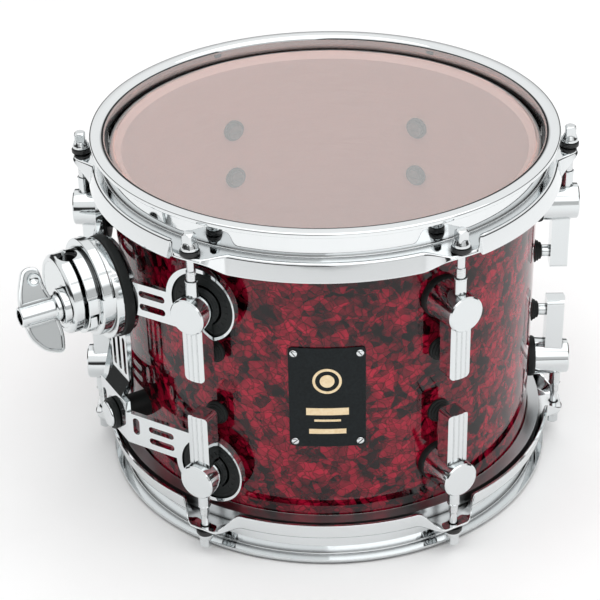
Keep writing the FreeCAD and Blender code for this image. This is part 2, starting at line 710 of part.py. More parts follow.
# ---- rod clamp, drawn at azimuth 0 and turned to its place ----
def make_seal():
    """Rubber ring between bracket and clamp."""
    inner = UPPER_NOSE_FACE
    wide = radial(SEAL_R, inner, SEAL_OUT - 1.2, FLANGE_Z)
    edge = radial_cone(SEAL_R, SEAL_R - 1.2, SEAL_OUT - 1.2, SEAL_OUT, FLANGE_Z)
    return wide.fuse(edge).cut(radial(SEAL_HOLE_R, inner - 1, SEAL_OUT + 1, FLANGE_Z)).removeSplitter()


def half_band(radius, inner, z):
    """Cutter for a shallow groove round the upper half of a disc."""
    tube = radial(radius + 3, inner, inner + BAND_W, z).cut(radial(radius - BAND_DEPTH, inner, inner + BAND_W, z))
    upper = block(-60, 60, inner - 1, inner + BAND_W + 1, z, z + 60)
    return tube.common(upper)


def rod_bore(radius):
    """Upright cylinder through the jaws at the split."""
    return upright(radius, JAW_Z - 40, JAW_Z + 40, 0, -BORE_OUT)


def make_clamp_base():
    """Fixed half of the clamp with its flange and lower lobe."""
    hub = radial(SEAL_HOLE_R, UPPER_NOSE_FACE, SEAL_OUT + 1, FLANGE_Z)
    flange = radial(FLANGE_R, SEAL_OUT, FLANGE_OUT, FLANGE_Z)
    body = radial_cone(BODY_R + 1.0, BODY_R, FLANGE_OUT - 1, BODY_OUT, JAW_Z)
    jaw = radial(INNER_JAW_R, BODY_OUT - 1, INNER_JAW_OUT, JAW_Z)
    lobe = radial(LOBE_R, SEAL_OUT, LOBE_OUT, LOBE_Z)
    base = fuse([hub, flange, body, jaw, lobe])
    cuts = [half_band(BODY_R + 1.0, FLANGE_OUT + 2.6, JAW_Z), half_band(INNER_JAW_R, BODY_OUT + 0.1, JAW_Z)]
    cuts.append(rod_bore(BUSHING_R))
    hole_r = WING_SHANK_R + WING_CLEARANCE
    cuts.append(radial(hole_r, WING_HOLE_IN, OUTER_JAW_IN, JAW_Z, WING_X))
    cuts = cuts + [radial(CLAMP_SCREW_R, 135, 151, FLANGE_Z, side * CLAMP_SCREW_X) for side in (-1, 1)]
    return base.cut(cuts)


def make_clamp_jaw():
    """Loose half of the clamp."""
    disc = radial(OUTER_JAW_R, OUTER_JAW_IN, OUTER_JAW_OUT - JAW_BEVEL, JAW_Z)
    bevel = radial_cone(OUTER_JAW_R, FACE_R, OUTER_JAW_OUT - JAW_BEVEL, OUTER_JAW_OUT, JAW_Z)
    hole_r = WING_SHANK_R + WING_CLEARANCE
    hole = radial(hole_r, OUTER_JAW_IN - 1, OUTER_JAW_OUT + 1, JAW_Z, WING_X)
    return fuse([disc, bevel]).cut([rod_bore(BUSHING_R), hole])


def make_bushing(inner, outer):
    """The part of the rod bushing between two distances from the drum axis."""
    tube = upright(BUSHING_R, JAW_Z - BUSHING_HALF_H, JAW_Z + BUSHING_HALF_H, 0, -BORE_OUT)
    half = block(-20, 20, inner, outer, JAW_Z - 40, JAW_Z + 40)
    return tube.cut(rod_bore(BORE_R)).common(half)


def make_clamp_screws():
    """Screws from behind the bracket into the clamp."""
    screws = []
    for side in (-1, 1):
        x = side * CLAMP_SCREW_X
        back = UPPER_NOSE_FACE - PLATE_T
        head = radial(CLAMP_SCREW_HEAD_R, back - 3.0, back, FLANGE_Z, x)
        shank = radial(CLAMP_SCREW_R, back - 1, 150.5, FLANGE_Z, x)
        screws.append(fuse([head, shank]))
    return Part.makeCompound(screws)


def make_wing(outline):
    """One wing of the wing bolt, a flat plate with a curved edge in the plane through its axis."""
    half = WING_PLATE_T / 2
    points = [FreeCAD.Vector(-half, -out, height) for out, height in outline]
    edge = Part.BSplineCurve()
    edge.interpolate(points)
    root = Part.makeLine(points[-1], points[0])
    return Part.Face(Part.Wire([edge.toShape(), root])).extrude(FreeCAD.Vector(WING_PLATE_T, 0, 0))


def make_wing_bolt():
    """Wing bolt that squeezes the two halves of the clamp together."""
    hub = [
        radial(WING_SHANK_R, WING_SHANK_IN, OUTER_JAW_OUT + 1, 0),
        radial(WING_COLLAR_R, OUTER_JAW_OUT, WING_COLLAR_OUT, 0),
        radial(WING_TUBE_R, WING_COLLAR_OUT - 1, WING_TUBE_OUT, 0),
    ]
    bolt = fuse(hub + [make_wing(WING_UPPER), make_wing(WING_LOWER)])
    end_bore = radial(WING_TUBE_BORE_R, WING_TUBE_OUT - WING_TUBE_BORE, WING_TUBE_OUT + 1, 0)
    dimple_in = WING_PLATE_T / 2 - DIMPLE_DEPTH
    dimple_at = FreeCAD.Vector(dimple_in, -DIMPLE_AT[0], DIMPLE_AT[1])
    dimple = Part.makeCylinder(DIMPLE_R, 5, dimple_at, FreeCAD.Vector(1, 0, 0))
    bolt = bolt.cut([end_bore, dimple])
    bolt.rotate(ORIGIN, Y_AXIS, -WING_TILT_DEG)
    bolt.translate(FreeCAD.Vector(WING_X, 0, JAW_Z))
    return bolt


def save_on_mount(shape, node):
    """Turn a mount piece to its azimuth and write it."""
    save(turned_about_drum(shape, MOUNT_DEG), node)


# ---- write every node ----
os.makedirs("parts", exist_ok=True)
save(make_shell(), "shell")
save(make_wrap(), "shell_wrap")
save(make_badge(), "badge_plate")
save(make_emblem(), "badge_emblem")
save(make_badge_pins(), "badge_pins")
save(make_film(), "batter_film")
save(mirrored(make_film()), "resonant_film")
save(make_flesh_hoop(), "batter_flesh_hoop")
save(mirrored(make_flesh_hoop()), "resonant_flesh_hoop")
hoop = make_hoop()
save(hoop, "batter_hoop")
save(mirrored(hoop), "resonant_hoop")
lug = make_lug()
rod = make_rod()
for number, azimuth in enumerate(lug_azimuths(), start=1):
    save(turned_about_drum(lug, azimuth), "upper_lug_" + str(number))
    save(turned_about_drum(mirrored(lug), azimuth), "lower_lug_" + str(number))
    save(turned_about_drum(rod, azimuth), "upper_rod_" + str(number))
    save(turned_about_drum(mirrored(rod), azimuth), "lower_rod_" + str(number))
save(all_columns([make_sleeve()]), "rod_sleeves")
save(all_columns([make_rod_washer()]), "rod_washers")
save(all_columns([make_gasket(BOSS_GASKET_R, BOSS_BACK, LUG_Z)]), "boss_gaskets")
save(all_columns([make_gasket(POST_GASKET_R, POST_BACK, POST_Z)]), "post_gaskets")
save(all_columns(both_heights(make_inner_washer)), "inner_washers")
save(all_columns(both_heights(make_lug_screw)), "lug_screws")
save_on_mount(make_bracket(), "mount_bracket")
save_on_mount(make_isolators(), "mount_isolators")
save_on_mount(make_bumper(), "shell_bumper")
save_on_mount(make_bumper_ring(), "bumper_ring")
save_on_mount(make_bumper_bolt(), "bumper_bolt")
save_on_mount(make_seal(), "clamp_seal")
save_on_mount(make_clamp_base(), "clamp_base")
save_on_mount(make_bushing(BORE_OUT - 20, INNER_JAW_OUT), "base_bushing")
save_on_mount(make_clamp_screws(), "clamp_screws")
save_on_mount(make_clamp_jaw(), "clamp_jaw")
save_on_mount(make_bushing(OUTER_JAW_IN, BORE_OUT + 20), "jaw_bushing")
save_on_mount(make_wing_bolt(), "wing_bolt")
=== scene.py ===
import json
import math

import bmesh
import bpy
from mathutils import Matrix, Vector


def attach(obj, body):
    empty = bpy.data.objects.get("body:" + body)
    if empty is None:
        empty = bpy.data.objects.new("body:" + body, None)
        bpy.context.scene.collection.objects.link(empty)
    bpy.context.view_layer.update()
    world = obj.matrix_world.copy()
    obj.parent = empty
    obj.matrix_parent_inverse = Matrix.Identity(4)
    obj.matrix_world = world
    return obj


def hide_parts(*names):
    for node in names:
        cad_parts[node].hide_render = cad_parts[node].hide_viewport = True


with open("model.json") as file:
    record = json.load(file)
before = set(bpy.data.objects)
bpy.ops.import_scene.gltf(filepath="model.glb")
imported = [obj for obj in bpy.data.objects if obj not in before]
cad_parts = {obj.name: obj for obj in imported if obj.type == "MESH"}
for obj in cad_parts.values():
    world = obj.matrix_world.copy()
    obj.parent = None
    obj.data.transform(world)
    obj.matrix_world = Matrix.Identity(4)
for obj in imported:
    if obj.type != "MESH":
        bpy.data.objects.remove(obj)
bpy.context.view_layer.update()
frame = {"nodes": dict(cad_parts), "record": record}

MM = 0.001
AXIS_X = 0.0106                          # the drum's axis, in metres

# in millimetres from here on, and azimuths in degrees with 0 towards the badge
TOTAL_H = 220.1
COLUMNS = [-30, 30, 90, 150, 210, 270]   # azimuths of the lugs and rods
MOUNT = -60                              # azimuth of the bracket and its clamp
ROD_CIRCLE = 144.7                       # drum axis to rod axis
BOSS_Z = 165.4                           # middle of an upper lug's boss
POST_Z = 131.0                           # middle of an upper lug's far end
BADGE_Z = 109.45
CLAMP_Z = 152.0                          # middle of the clamp's flange
JAW_Z = 155.5                            # middle of the clamp's two halves
SEAM_Z = 160.5                           # casting seam between ringed and smooth
BORE_OUT = 167.75                        # drum axis to the clamped rod's axis
BOLT_SIDE = 12.5                         # wing bolt beside the bore
BEND = 30.0                              # degrees: edges that turn by more are rounded
CREASE = 40.0                            # degrees: edges that turn by more are shaded sharp


# ---- colours and nodes ----
def colour(code):
    """Linear colour of an sRGB hex value."""
    parts = [int(code[i:i + 2], 16) / 255 for i in (1, 3, 5)]
    linear = [p / 12.92 if p <= 0.04045 else ((p + 0.055) / 1.055) ** 2.4 for p in parts]
    return (*linear, 1.0)


def add(tree, kind, inputs=None, **settings):
    """Adds a node; an input is a value or the socket it is linked from."""
    node = tree.nodes.new(kind)
    for name, value in settings.items():
        setattr(node, name, value)
    for name, value in (inputs or {}).items():
        if isinstance(value, bpy.types.NodeSocket):
            tree.links.new(value, node.inputs[name])
        else:
            node.inputs[name].default_value = value
    return node


def start(name, inputs):
    """A new material with its shader on the output."""
    material = bpy.data.materials.new(name)
    material.use_nodes = True
    tree = material.node_tree
    tree.nodes.clear()
    shader = add(tree, "ShaderNodeBsdfPrincipled", inputs)
    add(tree, "ShaderNodeOutputMaterial", {"Surface": shader.outputs[0]})
    coords = add(tree, "ShaderNodeTexCoord").outputs["Object"]
    return material, tree, shader, coords


def ramp(tree, fac, stops):
    """Colour ramp from (position, colour) stops."""
    node = add(tree, "ShaderNodeValToRGB", {"Fac": fac})
    band = node.color_ramp
    while len(band.elements) < len(stops):
        band.elements.new(0.5)
    for element, (position, shade) in zip(band.elements, stops):
        element.position = position
        element.color = shade
    return node.outputs["Color"]


def darkened(tree, base, shade):
    """One colour multiplied by another."""
    both = add(tree, "ShaderNodeMix", {0: 1.0, 6: base, 7: shade}, data_type="RGBA", blend_type="MULTIPLY")
    return both.outputs[2]


def grey(level):
    """Opaque linear grey."""
    return (level, level, level, 1.0)


def per_mm(size):
    """Pattern scale that gives one feature about this many millimetres across."""
    return 1.0 / (size * MM)


# ---- materials ----
def chrome_plate(name, tint, low, high, dimple, depth, reach=1.2):
    """Hard chrome over polished metal: mirror bright, faint wipe marks, slight ripple, and painted shade that
    darkens its colour in tight corners."""
    material, tree, shader, coords = start(name, {"Metallic": 1.0})
    wipe = add(tree, "ShaderNodeTexNoise", {"Vector": coords, "Scale": per_mm(18.0), "Detail": 5.0})
    rough = add(tree, "ShaderNodeMapRange", {"Value": wipe.outputs[0], "To Min": low, "To Max": high})
    tree.links.new(rough.outputs[0], shader.inputs["Roughness"])
    # painted shade: ambient occlusion darkens the base colour in tight corners, standing in for the shade
    # that falls there
    corner = add(tree, "ShaderNodeAmbientOcclusion", {"Distance": reach * MM}, samples=6)
    painted_corner_shade = ramp(tree, corner.outputs["AO"], [(0.3, grey(0.04)), (0.62, grey(0.3)), (0.85, grey(1.0))])
    tree.links.new(darkened(tree, colour(tint), painted_corner_shade), shader.inputs["Base Color"])
    wave = add(tree, "ShaderNodeTexNoise", {"Vector": coords, "Scale": per_mm(dimple), "Detail": 2.0})
    bump = add(tree, "ShaderNodeBump", {"Height": wave.outputs[0], "Strength": 0.25, "Distance": depth * MM})
    tree.links.new(bump.outputs[0], shader.inputs["Normal"])
    return material


def mottled(tree, shader, coords, size, detail, stops, low, high):
    """One grain that shifts colour and roughness together, so that no surface is perfectly even."""
    noise = add(tree, "ShaderNodeTexNoise", {"Vector": coords, "Scale": per_mm(size), "Detail": detail})
    grain = noise.outputs[0]
    shade = ramp(tree, grain, [(at, colour(code)) for at, code in stops])
    tree.links.new(shade, shader.inputs["Base Color"])
    rough = add(tree, "ShaderNodeMapRange", {"Value": grain, "To Min": low, "To Max": high})
    tree.links.new(rough.outputs[0], shader.inputs["Roughness"])
    return grain


def shards(tree, coords, turn, length, width):
    """Long angular cells lying one way: their random colours, and the cracks between them."""
    squeezed = add(tree, "ShaderNodeMapping", {
        "Vector": coords, "Rotation": turn, "Scale": (1.0, 1.0, length / width)}, vector_type="TEXTURE")
    place = {"Vector": squeezed.outputs[0], "Scale": per_mm(width)}
    cells = add(tree, "ShaderNodeTexVoronoi", place)
    edges = add(tree, "ShaderNodeTexVoronoi", place, feature="DISTANCE_TO_EDGE")
    crack = ramp(tree, edges.outputs["Distance"], [(0.0, grey(0.2)), (0.025, grey(0.6)), (0.07, grey(1.0))])
    return cells, crack


def pearl_wrap():
    """Celluloid pearl sheet: long angular crimson shards laid across one another in drifts, with dark gaps
    and fine cracks, under a clear polished face."""
    material, tree, shader, coords = start(
        "crimson_pearl_celluloid", {"Roughness": 0.035, "Specular IOR Level": 0.4})
    drift = add(tree, "ShaderNodeTexNoise", {"Vector": coords, "Scale": per_mm(14.0), "Detail": 2.0})
    push = add(tree, "ShaderNodeVectorMath", {
        0: drift.outputs["Color"], 1: (0.5, 0.5, 0.5)}, operation="SUBTRACT")
    push = add(tree, "ShaderNodeVectorMath", {0: push.outputs[0], "Scale": 8.0 * MM}, operation="SCALE")
    bent = add(tree, "ShaderNodeVectorMath", {0: coords, 1: push.outputs[0]}, operation="ADD").outputs[0]
    leaning, leaning_crack = shards(tree, bent, (0.0, 1.15, 0.3), 12.0, 4.6)
    crossing, crossing_crack = shards(tree, bent, (0.0, -0.75, -0.6), 11.0, 3.8)
    first = add(tree, "ShaderNodeSeparateColor", {"Color": leaning.outputs["Color"]})
    second = add(tree, "ShaderNodeSeparateColor", {"Color": crossing.outputs["Color"]})
    crack = darkened(tree, leaning_crack, crossing_crack)
    cloud = add(tree, "ShaderNodeTexNoise", {"Vector": bent, "Scale": per_mm(18.0), "Detail": 4.0})
    spread = add(tree, "ShaderNodeMapRange", {"Value": cloud.outputs[0], "From Min": 0.32, "From Max": 0.68})
    sheen = add(tree, "ShaderNodeTexNoise", {
        "Vector": bent, "Scale": per_mm(3.0), "Detail": 5.0, "Roughness": 0.6})
    tone = -0.08
    for part, share in ((spread, 0.34), (first, 0.32), (second, 0.32), (sheen, 0.25)):
        weighed = {0: part.outputs[0], 1: share, 2: tone}
        tone = add(tree, "ShaderNodeMath", weighed, operation="MULTIPLY_ADD").outputs[0]
    body = ramp(tree, tone, [
        (0.29, colour("#0A0305")), (0.4, colour("#38060F")), (0.52, colour("#6E091E")),
        (0.65, colour("#920D29")), (0.84, colour("#AE1332"))])
    tree.links.new(darkened(tree, body, crack), shader.inputs["Base Color"])
    return material


def drumhead_film(name, tints, clear, low, high):
    """Polyester film: frosted or clear by its roughness, and thin enough to show the screws inside."""
    material, tree, shader, coords = start(name, {"IOR": 1.6, "Alpha": 1.0 - clear})
    mottled(tree, shader, coords, 0.8, 4.0, [(0.3, tints[0]), (0.7, tints[1])], low, high)
    return material


def moulded_rubber():
    """Black moulded rubber: dark, soft sheen, fine grain."""
    material, tree, shader, coords = start("moulded_rubber", {"Specular IOR Level": 0.25})
    grain = mottled(tree, shader, coords, 0.7, 6.0, [(0.3, "#101313"), (0.75, "#1C2020")], 0.42, 0.62)
    bump = add(tree, "ShaderNodeBump", {"Height": grain, "Strength": 0.2, "Distance": 0.1 * MM})
    tree.links.new(bump.outputs[0], shader.inputs["Normal"])
    return material


def black_nylon():
    """Turned black nylon: smooth, a little glossier than rubber."""
    material, tree, shader, coords = start("black_nylon", {"IOR": 1.53})
    mottled(tree, shader, coords, 1.2, 3.0, [(0.3, "#08090A"), (0.7, "#131415")], 0.28, 0.42)
    return material


def badge_enamel():
    """Charcoal enamel on an etched plate: satin with a fine grain and little reflection."""
    material, tree, shader, coords = start("charcoal_enamel", {"Specular IOR Level": 0.14})
    mottled(tree, shader, coords, 1.5, 5.0, [(0.3, "#14181A"), (0.7, "#1D2325")], 0.3, 0.45)
    return material


def cream_enamel():
    """Cream enamel fill of the raised badge figures."""
    material, tree, shader, coords = start("cream_enamel", {"Coat Weight": 0.3, "Coat Roughness": 0.2})
    mottled(tree, shader, coords, 2.0, 3.0, [(0.3, "#EBCF9F"), (0.7, "#F7E2BC")], 0.35, 0.5)
    return material


def zinc_steel():
    """Zinc-plated steel: pale grey, faint mottling."""
    material, tree, shader, coords = start("zinc_plated_steel", {"Metallic": 1.0})
    mottled(tree, shader, coords, 2.5, 5.0, [(0.3, "#6E7173"), (0.7, "#8B8E90")], 0.3, 0.45)
    return material


def lacquered_beech():
    """Bent beech ply: pinkish wood, grain running round the shell, thin lacquer."""
    material, tree, shader, coords = start("lacquered_beech", {"Coat Weight": 0.3, "Coat Roughness": 0.25})
    stretch = add(tree, "ShaderNodeMapping", {"Vector": coords, "Scale": (1.0, 1.0, 12.0)}).outputs[0]
    stops = [(0.3, "#E6AEA0"), (0.5, "#EBB4A6"), (0.72, "#EEB9AB")]
    mottled(tree, shader, stretch, 14.0, 8.0, stops, 0.38, 0.5)
    return material


hoop_chrome = chrome_plate("chromed_rolled_steel", "#E4E7E8", 0.03, 0.07, 30.0, 0.05, 4.5)
cast_chrome = chrome_plate("chromed_zinc_casting", "#DADEDF", 0.04, 0.09, 9.0, 0.03, 2.0)
rod_chrome = chrome_plate("chromed_steel_rod", "#D9DCDD", 0.08, 0.14, 4.0, 0.01)
flesh_aluminium = chrome_plate("extruded_aluminium", "#C9CBCC", 0.28, 0.36, 6.0, 0.01)
wrap_finish = pearl_wrap()
batter_finish = drumhead_film("coated_polyester_film", ("#DEDFDE", "#E3E4E3"), 0.74, 0.42, 0.5)
resonant_finish = drumhead_film("clear_polyester_film", ("#DCDCDA", "#E4E4E2"), 0.55, 0.08, 0.12)
rubber = moulded_rubber()
nylon = black_nylon()
enamel = badge_enamel()
cream = cream_enamel()
zinc = zinc_steel()
beech = lacquered_beech()

FINISH = {
    "beech_shell": beech, "pearl_wrap": wrap_finish, "badge_enamel": enamel, "badge_emblem": cream,
    "batter_film": batter_finish, "resonant_film": resonant_finish, "flesh_hoop": flesh_aluminium,
    "chrome_hoop": hoop_chrome, "chrome": cast_chrome, "rod_steel": rod_chrome, "black_nylon": nylon,
    "rubber": rubber, "zinc_steel": zinc,
}
for part in frame["record"]["subparts"]:
    mesh = frame["nodes"][part["node"]].data
    mesh.materials.clear()
    mesh.materials.append(FINISH[part["material_slot"]])


# ---- shaping tools: millimetres, drum axis on Z, outward is -Y at azimuth 0 ----
def turned(corners, steps, closed=False):
    """A profile of (radius, height) corners turned all the way round Z."""
    sheet = bmesh.new()
    points = [sheet.verts.new((radius, 0.0, height)) for radius, height in corners]
    ends = points[1:] + points[:1] if closed else points[1:]
    edges = [sheet.edges.new(pair) for pair in zip(points, ends)]
    bmesh.ops.spin(sheet, geom=points + edges, cent=(0, 0, 0), axis=(0, 0, 1), angle=math.tau,
                   steps=steps, use_merge=True)
    bmesh.ops.remove_doubles(sheet, verts=sheet.verts, dist=0.0005)
    bmesh.ops.recalc_face_normals(sheet, faces=sheet.faces)
    return sheet


def moved(sheet, x=0.0, y=0.0, z=0.0):
    """Shifts a shape and hands it back."""
    bmesh.ops.translate(sheet, verts=sheet.verts, vec=(x, y, z))
    return sheet


def rotated(sheet, degrees, axis):
    """Turns a shape about an axis through the origin and hands it back."""
    turn = Matrix.Rotation(math.radians(degrees), 3, axis)
    bmesh.ops.rotate(sheet, verts=sheet.verts, cent=(0.0, 0.0, 0.0), matrix=turn)
    return sheet


def outward(sheet, z, x=0.0):
    """Lays a turned piece on its side so that its height runs away from the drum axis."""
    return moved(rotated(sheet, 90, "X"), x, 0.0, z)


def flipped(sheet):
    """The same piece on the other half of the drum."""
    copy = sheet.copy()
    bmesh.ops.scale(copy, verts=copy.verts, vec=(1, 1, -1))
    bmesh.ops.translate(copy, verts=copy.verts, vec=(0, 0, TOTAL_H))
    bmesh.ops.reverse_faces(copy, faces=copy.faces)
    return copy


def gathered(sheets):
    """Several shaped solids as one piece."""
    whole = bmesh.new()
    for sheet in sheets:
        mesh = bpy.data.meshes.new("part")
        sheet.to_mesh(mesh)
        whole.from_mesh(mesh)
        bpy.data.meshes.remove(mesh)
    return whole


def around(sheet, azimuths):
    """Copies of a piece at several azimuths, on both halves of the drum."""
    halves = [sheet, flipped(sheet)]
    return gathered([rotated(half.copy(), azimuth, "Z") for azimuth in azimuths for half in halves])


def rounded(sheet, width):
    """Rounds every edge that isn't part of a smooth curve."""
    limit = math.radians(BEND)
    edges = [edge for edge in sheet.edges if edge.is_manifold and edge.calc_face_angle(0.0) > limit]
    bmesh.ops.bevel(sheet, geom=edges, offset=width, offset_type="OFFSET", segments=2, profile=0.5,
                    affect="EDGES", clamp_overlap=True, material=-1)
    return sheet


def from_node(node):
    """A merged copy of a CAD piece in millimetres, with its flat faces whole again."""
    sheet = bmesh.new()
    sheet.from_mesh(frame["nodes"][node].data)
    bmesh.ops.scale(sheet, verts=sheet.verts, vec=(1 / MM, 1 / MM, 1 / MM))
    bmesh.ops.translate(sheet, verts=sheet.verts, vec=(-AXIS_X / MM, 0, 0))
    bmesh.ops.remove_doubles(sheet, verts=sheet.verts, dist=0.002)
    bmesh.ops.dissolve_limit(sheet, angle_limit=math.radians(0.5), verts=sheet.verts, edges=sheet.edges)
    return sheet


def finish(sheet, name, material, body, nodes, azimuth=0.0):
    """Puts a shaped piece in its place and gives it to its body."""
    rotated(sheet, azimuth, "Z")
    bmesh.ops.translate(sheet, verts=sheet.verts, vec=(AXIS_X / MM, 0, 0))
    bmesh.ops.scale(sheet, verts=sheet.verts, vec=(MM, MM, MM))
    mesh = bpy.data.meshes.new(name)
    sheet.to_mesh(mesh)
    sheet.free()
    mesh.materials.append(material)
    mesh.shade_smooth()
    mesh.set_sharp_from_angle(angle=math.radians(CREASE))
    piece = bpy.data.objects.new(name, mesh)
    bpy.context.scene.collection.objects.link(piece)
    even = piece.modifiers.new("even_shading", "WEIGHTED_NORMAL")
    even.keep_sharp = True
    even.weight = 70
    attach(piece, body)
    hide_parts(*nodes)


def softened(node, name, width):
    """A CAD piece of the drum body with its edges rounded as the real one's are."""
    part = next(row for row in frame["record"]["subparts"] if row["node"] == node)
    slot = part["material_slot"]
    finish(rounded(from_node(node), width), name, FINISH[slot], "drum", [node])


def eased(corners, steps=4):
    """Corner points with each corner turned into a small curve: (a, b, size of the curve)."""
    points = []
    for index, (a, b, size) in enumerate(corners):
        corner = Vector((a, b))
        if size == 0:
            points.append((a, b))
            continue
        before = Vector(corners[index - 1][:2])
        after = Vector(corners[(index + 1) % len(corners)][:2])
        leave = corner + (before - corner).normalized() * size
        arrive = corner + (after - corner).normalized() * size
        for step in range(steps + 1):
            t = step / steps
            points.append(tuple(leave * (1 - t) ** 2 + corner * 2 * t * (1 - t) + arrive * t ** 2))
    return points


def combined(sheet, tool, how="DIFFERENCE"):
    """One shape cut by another or joined to it."""
    objects = []
    for shape in (sheet, tool):
        mesh = bpy.data.meshes.new("part")
        shape.to_mesh(mesh)
        shape.free()
        objects.append(bpy.data.objects.new("part", mesh))
        bpy.context.scene.collection.objects.link(objects[-1])
    cut = objects[0].modifiers.new("cut", "BOOLEAN")
    cut.object = objects[1]
    cut.operation = how
    cut.solver = "EXACT"
    depsgraph = bpy.context.evaluated_depsgraph_get()
    result = bmesh.new()
    result.from_mesh(objects[0].evaluated_get(depsgraph).to_mesh())
    for item in objects:
        mesh = item.data
        bpy.data.objects.remove(item)
        bpy.data.meshes.remove(mesh)
    return result


def block(x, y, z):
    """Box centred on the origin."""
    sheet = bmesh.new()
    bmesh.ops.create_cube(sheet, size=1.0)
    bmesh.ops.scale(sheet, verts=sheet.verts, vec=(x, y, z))
    return sheet


def cylinder(radius, depth, segments):
    """Upright cylinder centred on the origin."""
    sheet = bmesh.new()
    bmesh.ops.create_cone(sheet, cap_ends=True, segments=segments, radius1=radius, radius2=radius,
                          depth=depth)
    return sheet


def halved(sheet, height, keep_upper):
    """The part of a solid above or below a level, closed again."""
    geometry = list(sheet.verts) + list(sheet.edges) + list(sheet.faces)
    cut = bmesh.ops.bisect_plane(sheet, geom=geometry, dist=0.0001, plane_co=(0, 0, height),
                                 plane_no=(0, 0, 1), clear_inner=keep_upper, clear_outer=not keep_upper)
    rim = [item for item in cut["geom_cut"] if isinstance(item, bmesh.types.BMEdge)]
    bmesh.ops.holes_fill(sheet, edges=rim, sides=0)
    bmesh.ops.recalc_face_normals(sheet, faces=sheet.faces)
    return sheet


# ---- pieces ----
# counter hoop: one pressed strip whose skirt folds out flat into an ear at each rod
HOOP_PLAIN = [
    (129.0, 200.0, 2.6), (129.0, 220.1, 3.6), (138.1, 220.1, 1.4), (138.1, 217.2, 0.4), (131.3, 217.8, 1.5),
    (131.3, 202.1, 1.3), (137.5, 202.1, 1.8), (140.2, 191.0, 0.5), (138.0, 191.0, 0.5), (135.6, 200.0, 1.2)]
HOOP_EAR = HOOP_PLAIN[:6] + [
    (148.2, 202.1, 0.5), (149.2, 201.1, 0.4), (149.2, 200.0, 0.4), (140.0, 200.0, 1.2)]
EAR_FLAT = 2.7       # degrees either side of a rod where the ear is flat, and where it has died away
EAR_END = 8.2
EAR_Z = 201.0
HOOP_STEPS = 720


def hoop():
    """Upper hoop: the plain section turned round, its skirt folded out at each rod, and the ears drilled."""
    plain, ear = eased(HOOP_PLAIN), eased(HOOP_EAR)
    sheet = turned(plain, HOOP_STEPS, closed=True)
    for vert in sheet.verts:
        radius = math.hypot(vert.co.x, vert.co.y)
        index = min(range(len(plain)), key=lambda i: abs(plain[i][0] - radius) + abs(plain[i][1] - vert.co.z))
        flat = ear[index]
        azimuth = math.degrees(math.atan2(vert.co.x, -vert.co.y))
        away = abs((azimuth - COLUMNS[0] + 30) % 60 - 30)
        along = min(1.0, max(0.0, (away - EAR_FLAT) / (EAR_END - EAR_FLAT)))
        blend = 1.0 - along * along * (3 - 2 * along)
        if blend > 0:
            reach = radius + (flat[0] - radius) * blend
            vert.co.x *= reach / radius
            vert.co.y *= reach / radius
            vert.co.z += (flat[1] - vert.co.z) * blend
    holes = [rotated(moved(cylinder(3.1, 8, 32), 0, -ROD_CIRCLE, EAR_Z), azimuth, "Z")
             for azimuth in COLUMNS]
    return combined(sheet, gathered(holes))


upper_hoop = hoop()
lower_hoop = flipped(upper_hoop)
finish(upper_hoop, "upper_hoop_pressing", hoop_chrome, "drum", ["batter_hoop"])
finish(lower_hoop, "lower_hoop_pressing", hoop_chrome, "drum", ["resonant_hoop"])

# lugs and rods
THREAD_PITCH = 1.06
threads = gathered([turned([(2.4, z), (2.82, z + 0.28), (2.82, z + 0.42), (2.4, z + 0.7)], 24, closed=True)
                    for z in [186.0 + THREAD_PITCH * turn for turn in range(6)]])
for half in ("upper", "lower"):
    for column, azimuth in enumerate(COLUMNS, 1):
        softened(f"{half}_lug_{column}", f"{half}_lug_casting_{column}", 0.35)
        rod = rounded(from_node(f"{half}_rod_{column}"), 0.25)
        coil = moved(threads.copy(), 0, -ROD_CIRCLE, 0)
        coil = rotated(flipped(coil) if half == "lower" else coil, azimuth, "Z")
        finish(gathered([rod, coil]), f"{half}_tension_rod_{column}", rod_chrome,
               f"tension_rod_{half}_{column}", [f"{half}_rod_{column}"])

sleeve = turned([(2.85, 158.4), (3.3, 158.0), (3.5, 158.4), (3.5, 185.0), (3.75, 185.2), (3.75, 185.6),
                 (3.5, 185.8), (3.0, 185.8), (2.85, 185.5)], 32, closed=True)
sleeves = around(moved(sleeve, 0, -ROD_CIRCLE, 0), COLUMNS)
finish(sleeves, "lug_sleeves", cast_chrome, "drum", ["rod_sleeves"])
washer = turned(eased([(2.65, 202.13, 0.3), (5.6, 202.13, 0.7), (5.6, 204.7, 0.7), (2.65, 204.7, 0.3)]), 32,
                closed=True)
washers = around(moved(washer, 0, -ROD_CIRCLE, 0), COLUMNS)
finish(washers, "rod_washer_set", nylon, "drum", ["rod_washers"])

# rubber pads between lugs and shell
boss_pad = outward(turned(eased([
    (2.6, 126.2, 0.1), (12.9, 126.2, 0.1), (12.9, 129.6, 1.2), (12.1, 130.6, 0.4), (2.6, 130.6, 0.1)]), 48,
    closed=True), BOSS_Z)
finish(around(boss_pad, COLUMNS), "boss_pads", rubber, "drum", ["boss_gaskets"])
post_pad = outward(turned(eased([
    (2.6, 126.2, 0.1), (7.25, 126.2, 0.1), (7.25, 128.0, 0.6), (6.3, 128.3, 0.2), (6.3, 129.5, 0.5),
    (5.3, 129.8, 0.2), (5.3, 131.0, 0.5), (4.0, 131.6, 0.3), (2.6, 131.6, 0.1)], 3), 40, closed=True), POST_Z)
finish(around(post_pad, COLUMNS), "post_pads", rubber, "drum", ["post_gaskets"])

